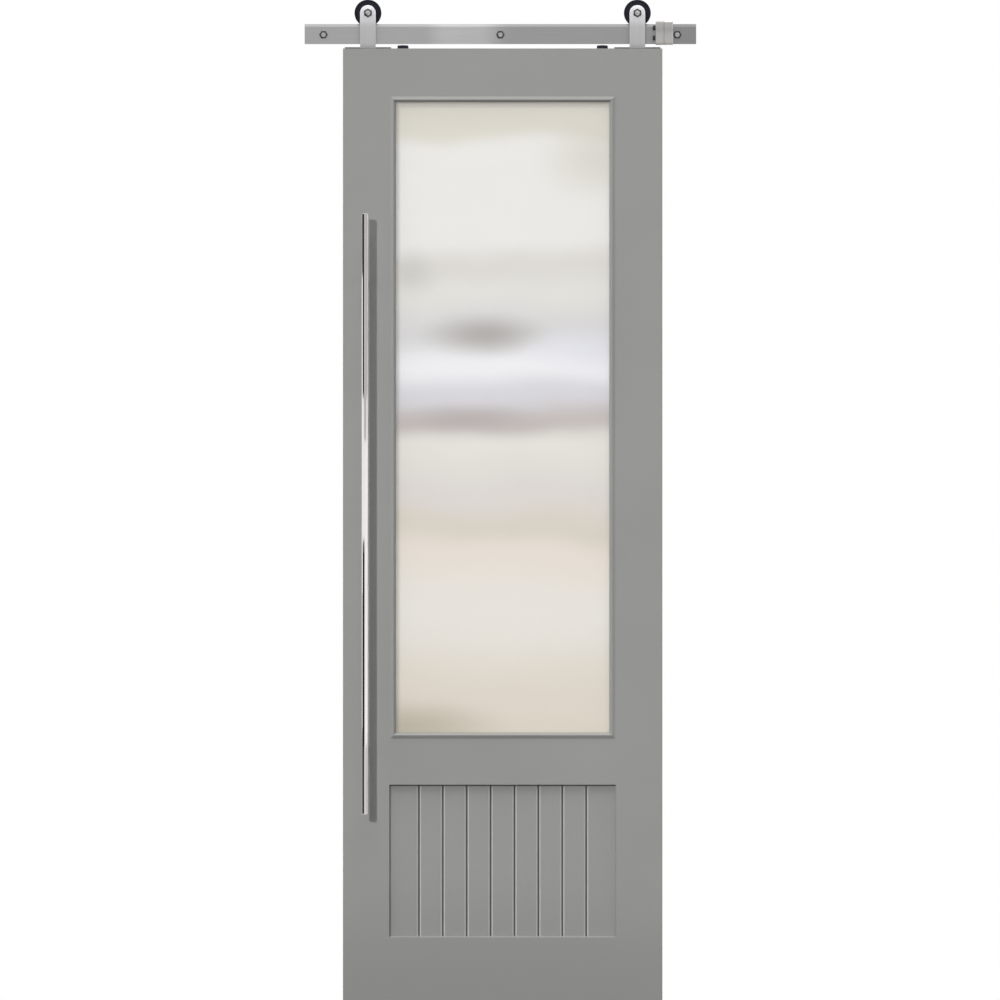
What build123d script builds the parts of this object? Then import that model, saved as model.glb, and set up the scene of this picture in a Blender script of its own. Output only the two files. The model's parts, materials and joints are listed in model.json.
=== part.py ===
"""Sliding barn door with its rail, rollers, stop and bar pull.

Frame: +X to the right as the front is seen, +Y towards the wall, +Z up.
The origin is the centre of the middle standoff's wall face. Millimetres.
"""

import os
from math import sqrt

from build123d import *

# Door leaf
door_width = 711.2
door_height = 2133.6
door_thickness = 35.0
stile_width = 105.4
top_rail_width = 107.0
lock_rail_width = 105.6
bottom_rail_width = 157.1
panel_opening_height = 334.9
edge_easing = 1.5

# Sticking: the steep bevel cut into the frame round the lower panel
sticking_depth = 7.0
sticking_angle = 20.0

# Lower panel and the grooves that hold it and the rails' stub tenons
panel_thickness = 17.0
tongue_length = 10.0
panel_float = 1.0
groove_count = 8
groove_pitch = 53.2
groove_width = 7.6

# Glass and the glazing beads planted round it, proud of the frame
glass_thickness = 5.0
glass_edge_gap = 2.0
bead_width = 12.5
bead_crest_from_edge = 7.2
bead_crest_rise = 3.8
bead_outer_rise = 0.4
bead_inner_drop = 2.0
bead_crest_radius = 1.5

# Rail on the wall
rail_overhang = 80.4
rail_height = 44.7
rail_thickness = 8.0
rail_bevel_height = 6.0
rail_bevel_depth = 2.0
wall_bolt_from_end = 42.0
wall_bolt_below_middle = 1.5
standoff_length = 32.0
standoff_diameter = 18.0
wall_bolt_diameter = 10.0
wall_bolt_head_flats = 16.2
wall_bolt_head_height = 5.6
wall_bolt_tip_gap = 1.0

# Rollers and hangers
wheel_diameter = 60.0
wheel_width = 18.0
flange_depth = 6.0
groove_floor_width = 5.2
groove_mouth_width = 10.0
bearing_diameter = 24.0
wheel_ride_gap = 0.3
wheel_side_gap = 0.3
axle_diameter = 10.0
axle_running_gap = 0.08
axle_head_flats = 17.0
axle_head_height = 6.4
axle_nut_height = 8.0
axle_tip_length = 2.0
bush_length = 6.2
bush_diameter = 16.0
strap_width = 35.0
strap_thickness = 6.0
strap_chamfer = 1.0
strap_setback = 2.0
hanger_inset = 55.6
foot_length = 103.0
foot_thickness = 3.0
foot_back_margin = 3.5
foot_corner = 4.0
foot_end_slope = 2.0
weld_radius = 3.0

# Anti-jump discs on the top edge, under the rail
disc_from_hanger = 78.0
disc_diameter = 25.0
disc_rail_gap = 2.5

# Door's place on the rail at rest
door_shift = 5.0
door_rail_gap = 10.0

# Bar pull on the left stile
pull_inset = 49.4
pull_below_top = 367.6
pull_length = 1337.0
pull_diameter = 15.6
pull_end_chamfer = 0.8
pull_grip_gap = 33.0
post_diameter = 12.0
post_from_end = 150.0
post_bolt_diameter = 8.0
post_bolt_depth = 16.0
post_bolt_head_diameter = 18.0
post_bolt_head_height = 3.5

# Stop at the rail's right end: a clamp round the rail and a head in front of it
stop_run = 17.0
stop_head_length = 18.2
stop_standoff_gap = 0.5
stop_top_above_rail = 10.0
stop_clamp_top_above_rail = 6.2
stop_lip = 2.0
stop_back_wall = 6.0
stop_head_thickness = 11.0
stop_clamp_setback = 4.0
stop_wheel_gap = 5.0
stop_edge_radius = 2.0
bumper_diameter = 11.0
bumper_length = 6.0
bumper_pitch = 22.6
bumper_above_bolts = 3.8

# Clearance of bolts, pins and bushes in their holes
hole_gap = 0.1

# Depths, from the wall out to the front
rail_back_y = -standoff_length
rail_front_y = rail_back_y - rail_thickness
wheel_y = rail_back_y - rail_thickness / 2
wheel_front_y = wheel_y - wheel_width / 2
wheel_back_y = wheel_y + wheel_width / 2
bush_back_y = wheel_front_y - wheel_side_gap
strap_back_y = bush_back_y - bush_length
strap_front_y = strap_back_y - strap_thickness
door_front_y = strap_front_y - strap_setback
door_back_y = door_front_y + door_thickness
door_mid_y = door_front_y + door_thickness / 2
stop_head_back_y = wheel_front_y - stop_wheel_gap
stop_head_front_y = stop_head_back_y - stop_head_thickness

# Heights
rail_top_z = rail_height / 2 + wall_bolt_below_middle
rail_bottom_z = rail_top_z - rail_height
tread_radius = wheel_diameter / 2 - flange_depth
axle_z = rail_top_z + wheel_ride_gap + tread_radius
door_top_z = rail_bottom_z - door_rail_gap
door_bottom_z = door_top_z - door_height
door_mid_z = (door_top_z + door_bottom_z) / 2
panel_bottom_z = door_bottom_z + bottom_rail_width
panel_top_z = panel_bottom_z + panel_opening_height
panel_mid_z = (panel_bottom_z + panel_top_z) / 2
glass_bottom_z = panel_top_z + lock_rail_width
glass_top_z = door_top_z - top_rail_width
glass_mid_z = (glass_bottom_z + glass_top_z) / 2
glass_opening_height = glass_top_z - glass_bottom_z
pull_top_z = door_top_z - pull_below_top

# Places across the door
door_left_x = door_shift - door_width / 2
opening_width = door_width - 2 * stile_width
hanger_x = {"left": door_left_x + hanger_inset, "right": door_left_x + door_width - hanger_inset}
inward = {"left": 1, "right": -1}
pull_x = door_left_x + pull_inset
pull_y = door_front_y - pull_grip_gap - pull_diameter / 2
post_z = {"upper": pull_top_z - post_from_end, "lower": pull_top_z - pull_length + post_from_end}
rail_length = door_width + 2 * rail_overhang
wall_bolt_pitch = rail_length / 2 - wall_bolt_from_end
wall_bolt_x = {"left": -wall_bolt_pitch, "middle": 0.0, "right": wall_bolt_pitch}
stop_head_left_x = hanger_x["right"] + strap_width / 2 + stop_run + bumper_length
stop_clamp_left_x = stop_head_left_x + stop_head_length
stop_clamp_right_x = wall_bolt_pitch - standoff_diameter / 2 - stop_standoff_gap
stop_clamp_length = stop_clamp_right_x - stop_clamp_left_x
tongue_back_y = door_mid_y + panel_thickness / 2


def upright_plane(y):
    """An upright plane at depth y: its axes are X and Z, and it faces the viewer."""
    return Plane.XZ.offset(-y)


def save(part, name):
    """Labels a finished piece and writes it as its own STEP file."""
    part.label = name
    export_step(part, f"parts/{name}.step")


def hexagon(flats, rotation=0):
    """A hexagon by its size across flats, with two corners level unless it is turned."""
    RegularPolygon(flats / 2, 6, major_radius=False, rotation=rotation)


def cut_sticking():
    """Bevels the frame round the lower panel, on both faces, in the part being built."""
    for face_y, outwards in ((door_front_y, 1), (door_back_y, -1)):
        with BuildSketch(upright_plane(face_y + outwards * sticking_depth)) as opening:
            with Locations((door_shift, panel_mid_z)):
                Rectangle(opening_width, panel_opening_height)
        extrude(
            opening.sketch,
            amount=outwards * sticking_depth,
            taper=-sticking_angle,
            mode=Mode.SUBTRACT,
        )


def make_stile(side):
    """An upright of the door's frame, grooved on its inner edge for rails and panel."""
    outer_x = door_left_x if side == "left" else door_left_x + door_width
    inner_x = outer_x + inward[side] * stile_width
    groove_x = inner_x - inward[side] * tongue_length / 2
    lower_groove = glass_bottom_z - door_bottom_z
    with BuildPart() as stile:
        with BuildSketch(upright_plane(door_back_y)):
            with Locations(((outer_x + inner_x) / 2, door_mid_z)):
                Rectangle(stile_width, door_height)
        extrude(amount=door_thickness)
        with BuildSketch(upright_plane(tongue_back_y)):
            with Locations((groove_x, door_bottom_z + lower_groove / 2)):
                Rectangle(tongue_length, lower_groove)
            with Locations((groove_x, door_top_z - top_rail_width / 2)):
                Rectangle(tongue_length, top_rail_width)
        extrude(amount=panel_thickness, mode=Mode.SUBTRACT)
        cut_sticking()
        if side == "left":
            with BuildSketch(upright_plane(door_back_y)):
                with Locations(*((pull_x, z) for z in post_z.values())):
                    Circle(post_bolt_diameter / 2 + hole_gap)
            extrude(amount=door_thickness, mode=Mode.SUBTRACT)
        outer_edges = stile.edges().filter_by(Axis.Z).sort_by(Axis.X)
        fillet(outer_edges[:2] if side == "left" else outer_edges[-2:], edge_easing)
    return stile.part


def make_rail(bottom_z, width, panel_sides):
    """A cross member with stub tenons. panel_sides: 1 or -1 where its top or bottom takes the panel."""
    with BuildPart() as rail:
        with BuildSketch(upright_plane(door_back_y)):
            with Locations((door_shift, bottom_z + width / 2)):
                Rectangle(opening_width, width)
        extrude(amount=door_thickness)
        with BuildSketch(upright_plane(tongue_back_y)):
            with Locations((door_shift, bottom_z + width / 2)):
                Rectangle(opening_width + 2 * tongue_length, width)
        extrude(amount=panel_thickness)
        for edge in panel_sides:
            edge_z = bottom_z + (width if edge > 0 else 0)
            with BuildSketch(upright_plane(tongue_back_y)):
                with Locations((door_shift, edge_z - edge * tongue_length / 2)):
                    Rectangle(opening_width + 2 * tongue_length, tongue_length)
            extrude(amount=panel_thickness, mode=Mode.SUBTRACT)
        if panel_sides:
            cut_sticking()
    return rail.part


def make_panel():
    """The lower panel: one sheet with V grooves on both faces, its edges in the frame's grooves."""
    reach = 2 * (tongue_length - panel_float)
    groove_side = groove_width / sqrt(2)
    with BuildPart() as panel:
        with BuildSketch(Plane.XY.offset(panel_bottom_z - reach / 2)):
            with Locations((door_shift, door_mid_y)):
                Rectangle(opening_width + reach, panel_thickness)
                with GridLocations(groove_pitch, panel_thickness, groove_count, 2):
                    Rectangle(groove_side, groove_side, rotation=45, mode=Mode.SUBTRACT)
        extrude(amount=panel_opening_height + reach)
    return panel.part


def make_glass():
    """The pane, held between the front and back beads."""
    with BuildPart() as pane:
        with BuildSketch(upright_plane(door_mid_y + glass_thickness / 2)):
            with Locations((door_shift, glass_mid_z)):
                Rectangle(opening_width - 2 * glass_edge_gap, glass_opening_height - 2 * glass_edge_gap)
        extrude(amount=glass_thickness)
    return pane.part


def make_bead(towards_glass, out, half_length, face_centre):
    """A mitred glazing bead: a slope up from the frame, a rounded crest, a steeper slope down to the glass.

    towards_glass and out are unit vectors. face_centre is the middle of the opening's edge on that face.
    """
    along = towards_glass.cross(out)
    section = Plane(origin=face_centre, x_dir=towards_glass, z_dir=along)
    glass_drop = (door_thickness - glass_thickness) / 2
    with BuildPart() as bead:
        with BuildSketch(section):
            with BuildLine():
                Polyline(
                    (0, -glass_drop),
                    (0, bead_outer_rise),
                    (bead_crest_from_edge, bead_crest_rise),
                    (bead_width, -bead_inner_drop),
                    (bead_width, -glass_drop),
                    close=True,
                )
            outline = make_face()
            fillet(outline.vertices().sort_by(Axis.Y)[-1], bead_crest_radius)
        extrude(amount=half_length, both=True)
        for end in (1, -1):
            mitre_point = face_centre + along * (end * half_length)
            mitre = Plane(origin=mitre_point, x_dir=out, z_dir=along * end + towards_glass)
            split(bisect_by=mitre, keep=Keep.BOTTOM)
    return bead.part


def make_beads():
    """The four front and four back beads, by name."""
    across, up = Vector(1, 0, 0), Vector(0, 0, 1)
    centre = Vector(door_shift, 0, glass_mid_z)
    half_width, half_height = opening_width / 2, glass_opening_height / 2
    sides = {
        "top": (up * -1, half_width, up * half_height),
        "bottom": (up, half_width, up * -half_height),
        "left": (across, half_height, across * -half_width),
        "right": (across * -1, half_height, across * half_width),
    }
    beads = {}
    faces = {"front": (door_front_y, Vector(0, -1, 0)), "back": (door_back_y, Vector(0, 1, 0))}
    for face, (face_y, out) in faces.items():
        for side, (towards_glass, half_length, offset) in sides.items():
            face_centre = centre + offset + Vector(0, face_y, 0)
            beads[f"{face}_bead_{side}"] = make_bead(towards_glass, out, half_length, face_centre)
    return beads


def make_hanger(side):
    """An upright strap with a round head about the axle, welded to a foot on the door's top edge."""
    foot_depth = door_back_y - foot_back_margin - strap_back_y
    with BuildPart() as hanger:
        with BuildSketch(upright_plane(strap_back_y)):
            with Locations((hanger_x[side], axle_z)):
                Circle(strap_width / 2)
                Rectangle(strap_width, axle_z - door_top_z, align=(Align.CENTER, Align.MAX))
                Circle(axle_diameter / 2 + hole_gap, mode=Mode.SUBTRACT)
        extrude(amount=strap_thickness)
        chamfer(hanger.faces().sort_by(Axis.Y)[0].outer_wire().edges(), strap_chamfer)
        with BuildSketch(Plane.XY.offset(door_top_z)):
            with Locations((hanger_x[side], strap_back_y + foot_depth / 2)):
                Rectangle(foot_length, foot_depth)
        extrude(amount=foot_thickness)
        foot_edges = hanger.edges().filter_by(Axis.Z)
        fillet(foot_edges.group_by(Axis.Y)[-1], foot_corner)
        end_edges = hanger.edges().filter_by(Axis.Y).group_by(Axis.Z)[1]
        chamfer(end_edges.sort_by(Axis.X)[:1] + end_edges.sort_by(Axis.X)[-1:], foot_end_slope)
        corner_z = door_top_z + foot_thickness
        corner = hanger.edges().filter_by(Axis.X).sort_by_distance((hanger_x[side], strap_back_y, corner_z))
        fillet(corner[0], weld_radius)
    return hanger.part


def make_axle_bolt(side):
    """The axle bolt: a hexagon head on the strap, one corner down, and a shank out behind the wheel."""
    shank_length = wheel_back_y + wheel_side_gap + axle_nut_height + axle_tip_length - strap_front_y
    with BuildPart() as bolt:
        with BuildSketch(upright_plane(strap_front_y)):
            with Locations((hanger_x[side], axle_z)):
                hexagon(axle_head_flats, rotation=90)
        extrude(amount=axle_head_height)
        with BuildSketch(upright_plane(strap_front_y)):
            with Locations((hanger_x[side], axle_z)):
                Circle(axle_diameter / 2)
        extrude(amount=-shank_length)
    return bolt.part


def make_axle_nut(side):
    """The nut that closes the axle behind the wheel."""
    with BuildPart() as nut:
        with BuildSketch(upright_plane(wheel_back_y + wheel_side_gap)):
            with Locations((hanger_x[side], axle_z)):
                hexagon(axle_head_flats)
                Circle(axle_diameter / 2 + hole_gap, mode=Mode.SUBTRACT)
        extrude(amount=-axle_nut_height)
    return nut.part


def make_axle_bush(side):
    """The bush on the axle between wheel and strap."""
    with BuildPart() as bush:
        with BuildSketch(upright_plane(bush_back_y)):
            with Locations((hanger_x[side], axle_z)):
                Circle(bush_diameter / 2)
                Circle(axle_diameter / 2 + hole_gap, mode=Mode.SUBTRACT)
        extrude(amount=bush_length)
    return bush.part


def wheel_section(side):
    """The plane of a wheel's half section: its axes are Y, along the axle, and Z."""
    return Plane(origin=(hanger_x[side], wheel_y, axle_z), x_dir=(0, 1, 0), z_dir=(1, 0, 0))


def make_wheel(side):
    """A wheel with a groove that fits the rail's bevelled top, and a seat for its bearing."""
    rim = wheel_diameter / 2
    half = [
        (groove_floor_width / 2, tread_radius),
        (groove_mouth_width / 2, rim),
        (wheel_width / 2, rim),
        (wheel_width / 2, bearing_diameter / 2),
    ]
    other_half = [(-y, z) for y, z in reversed(half)]
    with BuildPart() as wheel:
        with BuildSketch(wheel_section(side)):
            with BuildLine():
                Polyline(*half, *other_half, close=True)
            make_face()
        revolve(axis=Axis((hanger_x[side], wheel_y, axle_z), (0, 1, 0)))
    return wheel.part


def make_bearing(side):
    """The wheel's bearing, as wide as its hub, running on the axle."""
    with BuildPart() as bearing:
        with BuildSketch(upright_plane(wheel_back_y)):
            with Locations((hanger_x[side], axle_z)):
                Circle(bearing_diameter / 2 - hole_gap)
                Circle(axle_diameter / 2 + axle_running_gap, mode=Mode.SUBTRACT)
        extrude(amount=wheel_width)
    return bearing.part


def make_disc(side):
    """The anti-jump disc on the door's top edge, close under the rail."""
    with BuildPart() as disc:
        with BuildSketch(Plane.XY.offset(door_top_z)):
            with Locations((hanger_x[side] + inward[side] * disc_from_hanger, door_mid_y)):
                Circle(disc_diameter / 2)
        extrude(amount=door_rail_gap - disc_rail_gap)
    return disc.part


def make_pull_bar():
    """The long round grip bar."""
    with BuildPart() as bar:
        with BuildSketch(Plane.XY.offset(pull_top_z - pull_length)):
            with Locations((pull_x, pull_y)):
                Circle(pull_diameter / 2)
        extrude(amount=pull_length)
        chamfer(bar.edges().filter_by(GeomType.CIRCLE), pull_end_chamfer)
    return bar.part


def make_pull_post(z):
    """A post that carries the bar, saddled to it and drilled for its bolt."""
    with BuildPart() as post:
        with BuildSketch(upright_plane(door_front_y)):
            with Locations((pull_x, z)):
                Circle(post_diameter / 2)
        extrude(amount=door_front_y - pull_y)
        with BuildSketch(Plane.XY.offset(z)):
            with Locations((pull_x, pull_y)):
                Circle(pull_diameter / 2 + hole_gap)
        extrude(amount=post_diameter, both=True, mode=Mode.SUBTRACT)
        with BuildSketch(upright_plane(door_front_y)):
            with Locations((pull_x, z)):
                Circle(post_bolt_diameter / 2 + hole_gap)
        extrude(amount=post_bolt_depth + hole_gap, mode=Mode.SUBTRACT)
    return post.part


def make_pull_bolt(z):
    """The bolt that holds a post through the stile, with its low head on the back."""
    with BuildPart() as bolt:
        with BuildSketch(upright_plane(door_back_y + post_bolt_head_height)):
            with Locations((pull_x, z)):
                Circle(post_bolt_head_diameter / 2)
        extrude(amount=post_bolt_head_height)
        with BuildSketch(upright_plane(door_back_y)):
            with Locations((pull_x, z)):
                Circle(post_bolt_diameter / 2)
        extrude(amount=door_thickness + post_bolt_depth)
    return bolt.part


def make_track_rail():
    """The flat rail: bevelled along its top for the wheels' grooves, drilled for the wall bolts."""
    with BuildPart() as track:
        with BuildSketch(Plane.YZ.offset(-rail_length / 2)):
            with BuildLine():
                Polyline(
                    (rail_front_y, rail_bottom_z),
                    (rail_back_y, rail_bottom_z),
                    (rail_back_y, rail_top_z - rail_bevel_height),
                    (rail_back_y - rail_bevel_depth, rail_top_z),
                    (rail_front_y + rail_bevel_depth, rail_top_z),
                    (rail_front_y, rail_top_z - rail_bevel_height),
                    close=True,
                )
            make_face()
        extrude(amount=rail_length)
        with BuildSketch(upright_plane(rail_back_y)):
            with Locations(*((x, 0) for x in wall_bolt_x.values())):
                Circle(wall_bolt_diameter / 2 + hole_gap)
        extrude(amount=rail_thickness, mode=Mode.SUBTRACT)
    return track.part


def make_standoff(x):
    """The round spacer between wall and rail."""
    with BuildPart() as standoff:
        with BuildSketch(upright_plane(0)):
            with Locations((x, 0)):
                Circle(standoff_diameter / 2)
                Circle(wall_bolt_diameter / 2 + hole_gap, mode=Mode.SUBTRACT)
        extrude(amount=standoff_length)
    return standoff.part


def make_wall_bolt(x):
    """A hexagon-headed bolt through rail and standoff, cut short of the wall."""
    with BuildPart() as bolt:
        with BuildSketch(upright_plane(rail_front_y)):
            with Locations((x, 0)):
                hexagon(wall_bolt_head_flats)
        extrude(amount=wall_bolt_head_height)
        with BuildSketch(upright_plane(-wall_bolt_tip_gap)):
            with Locations((x, 0)):
                Circle(wall_bolt_diameter / 2)
        extrude(amount=-rail_front_y - wall_bolt_tip_gap)
    return bolt.part


def make_stop_clamp():
    """The stop's clamp: a closed collar round the rail."""
    collar_back_y = rail_back_y + stop_back_wall
    collar_front_y = stop_head_front_y + stop_clamp_setback
    with BuildPart() as clamp:
        with BuildSketch(Plane.YZ.offset(stop_clamp_left_x)):
            with Locations((collar_back_y, rail_bottom_z - stop_lip)):
                Rectangle(
                    collar_back_y - collar_front_y,
                    rail_height + stop_lip + stop_clamp_top_above_rail,
                    align=(Align.MAX, Align.MIN),
                )
        extrude(amount=stop_clamp_length)
        upright_edges = clamp.edges().filter_by(Axis.Z).group_by(Axis.X)[-1]
        fillet(upright_edges.sort_by(Axis.Y)[0], stop_edge_radius)
        with BuildSketch(Plane.YZ.offset(stop_clamp_left_x)):
            with Locations((rail_back_y, rail_bottom_z)):
                Rectangle(rail_thickness, rail_height, align=(Align.MAX, Align.MIN))
        extrude(amount=stop_clamp_length, mode=Mode.SUBTRACT)
    return clamp.part


def make_stop_head():
    """The stop's head: it stands off the rail where the wheel's flange passes and rests on it below."""
    top_z = rail_top_z + stop_top_above_rail
    foot_top_z = axle_z - wheel_diameter / 2 - stop_wheel_gap
    with BuildPart() as head:
        with BuildSketch(Plane.YZ.offset(stop_head_left_x)):
            with BuildLine():
                Polyline(
                    (rail_front_y, rail_bottom_z - stop_lip),
                    (rail_front_y, foot_top_z),
                    (stop_head_back_y, foot_top_z),
                    (stop_head_back_y, top_z),
                    (stop_head_front_y, top_z),
                    (stop_head_front_y, rail_bottom_z - stop_lip),
                    close=True,
                )
            make_face()
        extrude(amount=stop_head_length)
        front = head.faces().sort_by(Axis.Y)[0]
        fillet(front.edges(), stop_edge_radius)
    return head.part


def make_bumpers():
    """Two rubber buffers on the stop's left face, in line with the strap."""
    bumper_y = (stop_head_back_y + stop_head_front_y) / 2
    with BuildPart() as bumpers:
        with BuildSketch(Plane.YZ.offset(stop_head_left_x)):
            with Locations((bumper_y, bumper_above_bolts)):
                with GridLocations(0, bumper_pitch, 1, 2):
                    Circle(bumper_diameter / 2)
        extrude(amount=-bumper_length)
    return bumpers.part


def main():
    os.makedirs("parts", exist_ok=True)
    pieces = {
        "top_rail": make_rail(glass_top_z, top_rail_width, ()),
        "lock_rail": make_rail(panel_top_z, lock_rail_width, (-1,)),
        "bottom_rail": make_rail(door_bottom_z, bottom_rail_width, (1,)),
        "grooved_panel": make_panel(),
        "glass_pane": make_glass(),
        "pull_bar": make_pull_bar(),
        "track_rail": make_track_rail(),
        "stop_clamp": make_stop_clamp(),
        "stop_head": make_stop_head(),
        "stop_bumpers": make_bumpers(),
    }
    pieces.update(make_beads())
    for side in ("left", "right"):
        pieces[f"{side}_stile"] = make_stile(side)
        pieces[f"{side}_hanger"] = make_hanger(side)
        pieces[f"{side}_axle_bolt"] = make_axle_bolt(side)
        pieces[f"{side}_axle_nut"] = make_axle_nut(side)
        pieces[f"{side}_axle_bush"] = make_axle_bush(side)
        pieces[f"{side}_wheel"] = make_wheel(side)
        pieces[f"{side}_wheel_bearing"] = make_bearing(side)
        pieces[f"{side}_anti_jump_disc"] = make_disc(side)
    for place, z in post_z.items():
        pieces[f"{place}_pull_post"] = make_pull_post(z)
        pieces[f"{place}_pull_bolt"] = make_pull_bolt(z)
    for place, x in wall_bolt_x.items():
        pieces[f"{place}_standoff"] = make_standoff(x)
        pieces[f"{place}_wall_bolt"] = make_wall_bolt(x)
    for name, part in pieces.items():
        save(part, name)


main()
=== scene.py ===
"""Looks of a sliding barn door: painted leaf, satin glass, steel rail, rollers, stop and bar pull.

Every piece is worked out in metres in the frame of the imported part: +X to the right as the
front is seen, +Y towards the wall, +Z up. Places come from the boxes of the part's own nodes.
"""

import json
import math

import bmesh
import bpy
import numpy as np
from bpy.props import FloatProperty, FloatVectorProperty, IntProperty, PointerProperty
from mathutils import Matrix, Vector

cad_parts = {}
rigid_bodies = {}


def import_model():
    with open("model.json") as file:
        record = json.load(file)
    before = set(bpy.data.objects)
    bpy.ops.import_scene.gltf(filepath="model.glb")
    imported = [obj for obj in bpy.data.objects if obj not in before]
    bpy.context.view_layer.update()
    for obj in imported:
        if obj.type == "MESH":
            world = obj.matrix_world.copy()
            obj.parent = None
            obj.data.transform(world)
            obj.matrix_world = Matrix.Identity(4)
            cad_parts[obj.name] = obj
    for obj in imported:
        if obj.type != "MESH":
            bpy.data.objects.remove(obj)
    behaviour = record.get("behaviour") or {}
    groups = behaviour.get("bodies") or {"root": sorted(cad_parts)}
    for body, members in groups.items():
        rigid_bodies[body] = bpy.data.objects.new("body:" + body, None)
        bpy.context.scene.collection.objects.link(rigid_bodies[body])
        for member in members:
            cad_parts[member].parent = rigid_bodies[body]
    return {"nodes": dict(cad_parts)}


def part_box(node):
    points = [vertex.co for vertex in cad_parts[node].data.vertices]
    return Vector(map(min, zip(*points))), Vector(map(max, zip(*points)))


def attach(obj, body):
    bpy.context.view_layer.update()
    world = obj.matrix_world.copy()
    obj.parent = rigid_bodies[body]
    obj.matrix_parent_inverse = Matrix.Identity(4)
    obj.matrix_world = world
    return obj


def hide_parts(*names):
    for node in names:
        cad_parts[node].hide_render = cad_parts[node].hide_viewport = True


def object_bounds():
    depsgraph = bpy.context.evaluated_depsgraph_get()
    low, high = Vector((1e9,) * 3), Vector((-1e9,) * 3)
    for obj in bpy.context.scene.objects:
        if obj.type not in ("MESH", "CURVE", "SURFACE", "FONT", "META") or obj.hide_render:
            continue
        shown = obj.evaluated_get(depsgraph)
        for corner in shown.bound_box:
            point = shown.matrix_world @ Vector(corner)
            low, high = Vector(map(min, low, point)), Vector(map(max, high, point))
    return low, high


bl_info = {
    "name": "Sliding Barn Door",
    "version": (1, 0, 0),
    "blender": (4, 5, 0),
    "location": "View3D > Sidebar > Barn Door",
    "description": "Dresses a sliding barn door: paint, glass, hardware and a plain studio",
    "category": "Object",
}

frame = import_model()
cad_low, cad_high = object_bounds()

X_AXIS = np.array([1.0, 0.0, 0.0])
Y_AXIS = np.array([0.0, 1.0, 0.0])
Z_AXIS = np.array([0.0, 0.0, 1.0])
SIDES = ("left", "right")
BEAD_SIDES = ("top", "bottom", "left", "right")
WALL_BOLTS = ("left", "middle", "right")
POSTS = ("upper", "lower")
SMOOTH_LIMIT = math.radians(32)
WELD_DISTANCE = 1e-6
SCREW_TURNS = 36
# The range that noise mostly keeps to
NOISE_LOW, NOISE_HIGH = 0.3, 0.7
# Every finish by name, once it is made
FINISHES = {}


def length(name, default, description):
    """A size in metres that a user may change."""
    return FloatProperty(
        name=name, description=description, default=default, min=0.0, precision=5,
        subtype="DISTANCE", unit="LENGTH",
    )


def colour(name, default, description):
    """A colour in linear light that a user may change."""
    return FloatVectorProperty(
        name=name, description=description, default=default, size=3, min=0.0, max=1.0,
        subtype="COLOR",
    )


def number(name, default, description, **limits):
    """A plain number that a user may change."""
    return FloatProperty(name=name, description=description, default=default, **limits)


def count(name, default, least, description):
    """A whole number that a user may change."""
    return IntProperty(name=name, description=description, default=default, min=least)


class BarnDoorSizes(bpy.types.PropertyGroup):
    """Sizes of the fine forms that the solids leave plain."""

    turns: count("Turned steps", 96, 12, "Faces round a turned piece")
    arc_steps: count("Arc steps", 6, 1, "Faces along a rounded edge")
    bead_rise: length("Bead outer rise", 0.0004, "Rise of a bead's outer edge above the leaf")
    bead_crest: length("Bead crest", 0.0072, "From a glazing bead's outer edge to its crest")
    bead_peak: length("Bead peak", 0.0038, "Height of the unrounded crest above the leaf")
    bead_drop: length("Bead inner drop", 0.002, "How far the inner slope ends below the leaf")
    bead_round: length("Bead rounding", 0.0015, "Radius of a glazing bead's crest")
    mitre_gap: length("Mitre line", 0.00012, "Half the width of the line between two mitred beads")
    panel_grooves: count("Panel grooves", 8, 1, "V grooves across the panel")
    groove_pitch: length("Groove pitch", 0.0532, "From one V groove of the panel to the next")
    groove_half: length("Groove half", 0.0038, "Half the width of a V groove")
    pull_end_round: length("Pull end rounding", 0.0012, "Edge rounding at the ends of the pull bar")
    strap_round: length("Strap rounding", 0.0011, "Edge rounding of the hanger straps")
    foot_thickness: length("Foot thickness", 0.003, "Thickness of a hanger's foot on the leaf")
    foot_corner: length("Foot corner", 0.004, "Corner radius of a hanger's foot")
    weld_leg: length("Weld leg", 0.003, "Leg of the fillet weld between strap and foot")
    foot_screw: length("Foot screw", 0.009, "Head diameter of the countersunk screws in a foot")
    axle_head: length("Axle head height", 0.0064, "Height of the axle bolt's hexagon head")
    wall_head: length("Wall bolt head height", 0.0056, "Height of a wall bolt's hexagon head")
    flange_depth: length("Wheel flange", 0.006, "Depth of a wheel's groove below its rim")
    groove_floor: length("Groove floor", 0.0052, "Width of a wheel's groove at its floor")
    groove_mouth: length("Groove mouth", 0.010, "Width of a wheel's groove at its rim")
    flange_round: length("Flange rounding", 0.0009, "Rounding of a wheel's outer edges")
    wheel_dish: length("Wheel dish", 0.0016, "Depth of the ring turned into a wheel's faces")
    disc_round: length("Disc rounding", 0.0022, "Rounding of an anti-jump disc's top edge")
    stop_round: length("Stop rounding", 0.0018, "Edge rounding of the stop")
    stop_clearance: length("Stop clearance", 0.005, "Room between the stop's head and a wheel")
    bumper_round: length("Bumper rounding", 0.0016, "Rounding of a bumper's nose")


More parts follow.
